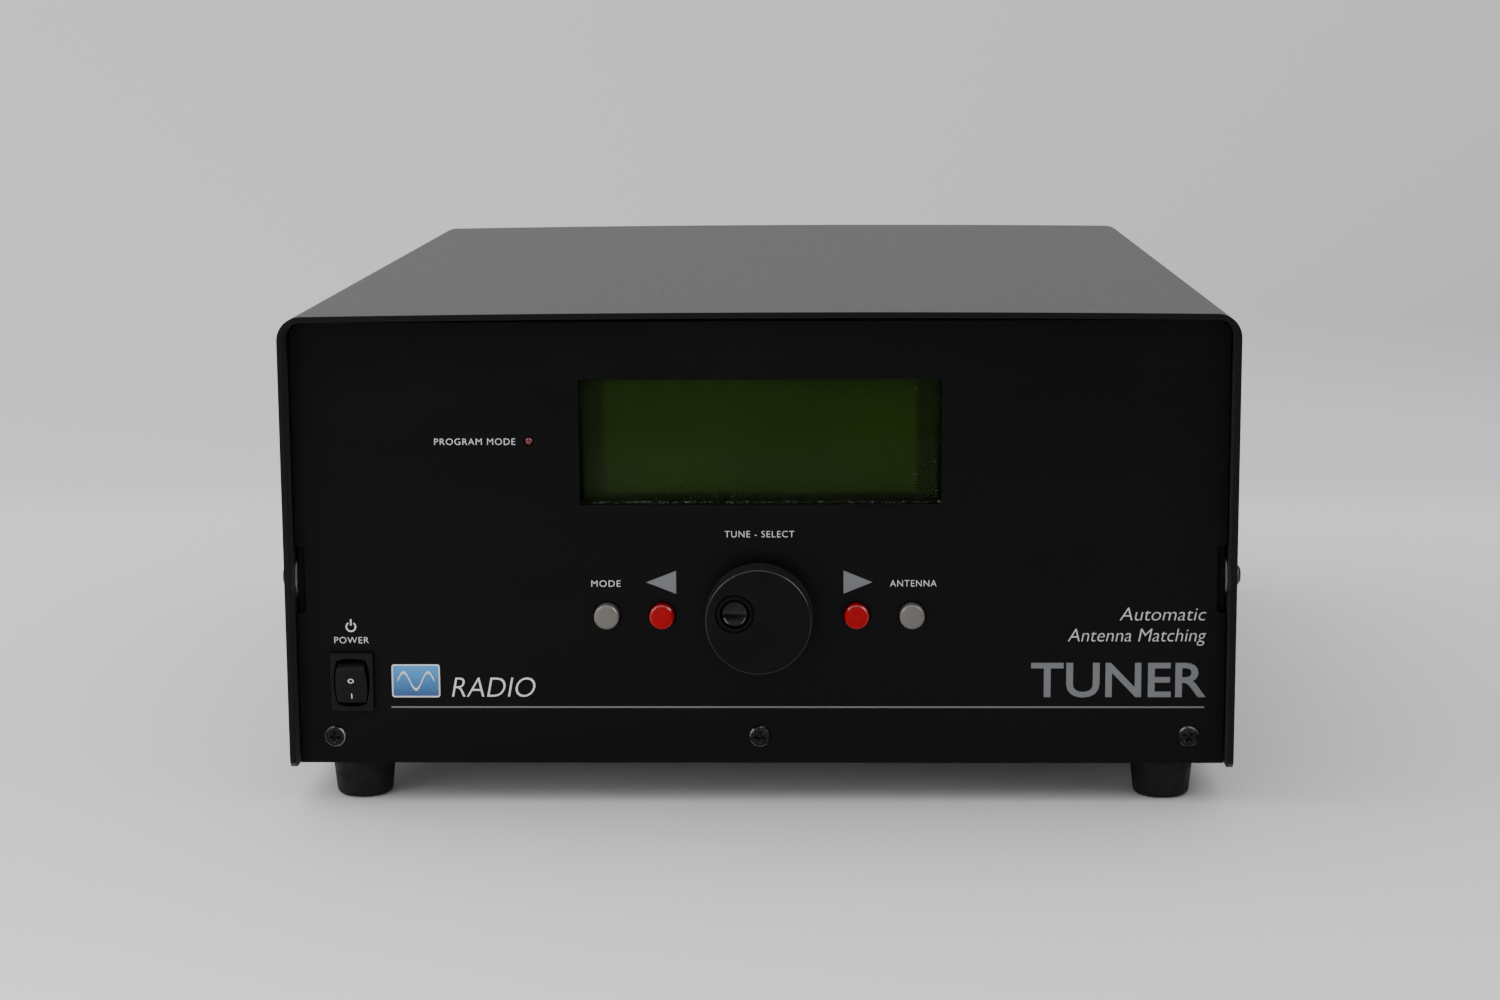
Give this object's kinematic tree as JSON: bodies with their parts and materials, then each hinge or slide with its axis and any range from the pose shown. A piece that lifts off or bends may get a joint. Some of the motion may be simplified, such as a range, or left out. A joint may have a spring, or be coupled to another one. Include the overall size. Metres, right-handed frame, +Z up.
{
  "type": "antenna tuner",
  "caption": "Desk-top automatic antenna tuner: bent metal case, recessed panel with display, push-turn knob, push buttons and rocker switch, rear coaxial sockets and line posts.",
  "frame": {"origin": "on the surface the feet stand on, at the centre of the whole outline", "axes": "+X to the viewer's right seen from the front, +Y from the front panel towards the rear, +Z up"},
  "size_m": [0.3238, 0.4344, 0.1677],
  "materials": {
    "cover_paint": "fine-textured black powder coat",
    "panel_paint": "smooth satin black paint, silk-screened marks",
    "chassis_paint": "black powder coat",
    "rubber": "moulded black rubber",
    "black_plastic": "fine satin mould texture",
    "black_screw": "black-plated steel",
    "zinc": "bright zinc plate",
    "nickel": "nickel plate",
    "grey_cap": "semi-gloss grey moulding",
    "red_cap": "semi-gloss red moulding",
    "red_lens": "diffused red lamp body",
    "clear_window": "smoke-tinted acrylic",
    "display_glass": "yellow-green display glass, unlit",
    "board": "green solder-masked circuit board",
    "aluminium": "mill finish",
    "motor_black": "black laminations and end bells",
    "silver": "silver-plated copper",
    "insulator": "white steatite-like insulator",
    "ferrite": "grey-black ferrite",
    "brass": "turned brass"
  },
  "bodies": {
    "case": {"cover": "cover_paint", "front_panel": "panel_paint", "chassis": "chassis_paint", "foot_front_left": "rubber", "foot_front_right": "rubber", "foot_rear_left": "rubber", "foot_rear_right": "rubber", "panel_screw_left": "black_screw", "panel_screw_centre": "black_screw", "panel_screw_right": "black_screw", "cover_screw_front_left": "black_screw", "cover_screw_front_right": "black_screw", "cover_screw_rear_left": "black_screw", "cover_screw_rear_right": "black_screw", "side_washer_left": "zinc", "side_washer_right": "zinc", "encoder_body": "nickel", "key_board": "board", "power_switch_body": "black_plastic", "display_window": "clear_window", "lcd_frame": "motor_black", "lcd_glass": "display_glass", "lcd_board": "board", "program_led": "red_lens", "inductor_bracket": "aluminium", "inductor_end_plate": "insulator", "inductor_motor": "motor_black", "roller_rod": "silver", "capacitor_bracket": "aluminium", "capacitor_end_plate": "insulator", "capacitor_motor": "motor_black", "capacitor_stator_left": "aluminium", "capacitor_stator_right": "aluminium", "control_board": "board", "relay_board": "board", "balun_transformer": "ferrite", "coax_socket_input": "nickel", "coax_socket_antenna_1": "nickel", "coax_socket_antenna_2": "nickel", "antenna_post_1": "insulator", "antenna_post_2": "insulator", "ground_stud": "nickel", "dc_jack": "nickel", "data_port": "nickel"},
    "encoder_rotor": {"encoder_rotor": "black_plastic"},
    "knob": {"tuning_knob": "black_plastic", "encoder_shaft": "nickel"},
    "finger_cup": {"finger_cup": "black_plastic"},
    "button_mode": {"button_mode": "grey_cap"},
    "button_step_left": {"button_step_left": "red_cap"},
    "button_step_right": {"button_step_right": "red_cap"},
    "button_antenna": {"button_antenna": "grey_cap"},
    "power_rocker": {"power_rocker": "black_plastic"},
    "coil": {"coil_form": "insulator", "coil_winding": "silver", "inductor_coupling": "insulator"},
    "roller": {"roller_wheel": "brass"},
    "capacitor": {"capacitor_rotor": "aluminium", "capacitor_coupling": "insulator"},
    "wing_nut": {"wing_nut": "nickel"}
  },
  "joints": [
    {"name": "tuning_turn", "type": "hinge", "parent": "case", "child": "encoder_rotor", "pos_m": [0, -0.1948, 0.0648], "axis": [0, 1, 0], "continuous": true},
    {"name": "tuning_push", "type": "slide", "parent": "encoder_rotor", "child": "knob", "axis": [0, 1, 0], "range_m": [0, 0.0008], "stiffness_N_per_m": 3000, "springref_m": -0.0005},
    {"name": "finger_cup_spin", "type": "hinge", "parent": "knob", "child": "finger_cup", "pos_m": [-0.0079, -0.2148, 0.0676], "axis": [0, 1, 0], "continuous": true},
    {"name": "press_mode", "type": "slide", "parent": "case", "child": "button_mode", "axis": [0, 1, 0], "range_m": [0, 0.001], "stiffness_N_per_m": 1500, "springref_m": -0.0006},
    {"name": "press_step_left", "type": "slide", "parent": "case", "child": "button_step_left", "axis": [0, 1, 0], "range_m": [0, 0.001], "stiffness_N_per_m": 1500, "springref_m": -0.0006},
    {"name": "press_step_right", "type": "slide", "parent": "case", "child": "button_step_right", "axis": [0, 1, 0], "range_m": [0, 0.001], "stiffness_N_per_m": 1500, "springref_m": -0.0006},
    {"name": "press_antenna", "type": "slide", "parent": "case", "child": "button_antenna", "axis": [0, 1, 0], "range_m": [0, 0.001], "stiffness_N_per_m": 1500, "springref_m": -0.0006},
    {"name": "power_rock", "type": "hinge", "parent": "case", "child": "power_rocker", "pos_m": [-0.1381, -0.2038, 0.0419], "axis": [1, 0, 0], "range_deg": [-26, 0]},
    {"name": "coil_turn", "type": "hinge", "parent": "case", "child": "coil", "pos_m": [-0.078, 0.0092, 0.0865], "axis": [0, 1, 0], "range_deg": [-2520, 2520]},
    {"name": "roller_travel", "type": "slide", "parent": "case", "child": "roller", "axis": [0, 1, 0], "range_m": [-0.0562, 0.0562]},
    {"name": "capacitor_turn", "type": "hinge", "parent": "case", "child": "capacitor", "pos_m": [0.078, 0.0092, 0.0865], "axis": [0, 1, 0], "range_deg": [-90, 90]},
    {"name": "wing_nut_turn", "type": "hinge", "parent": "case", "child": "wing_nut", "pos_m": [0.132, 0.1996, 0.0385], "axis": [0, 1, 0], "range_deg": [0, 360]}
  ],
  "couplings": [
    {"joint": "roller_travel", "follows": "coil_turn", "m_per_rad": 0.0012732}
  ]
}
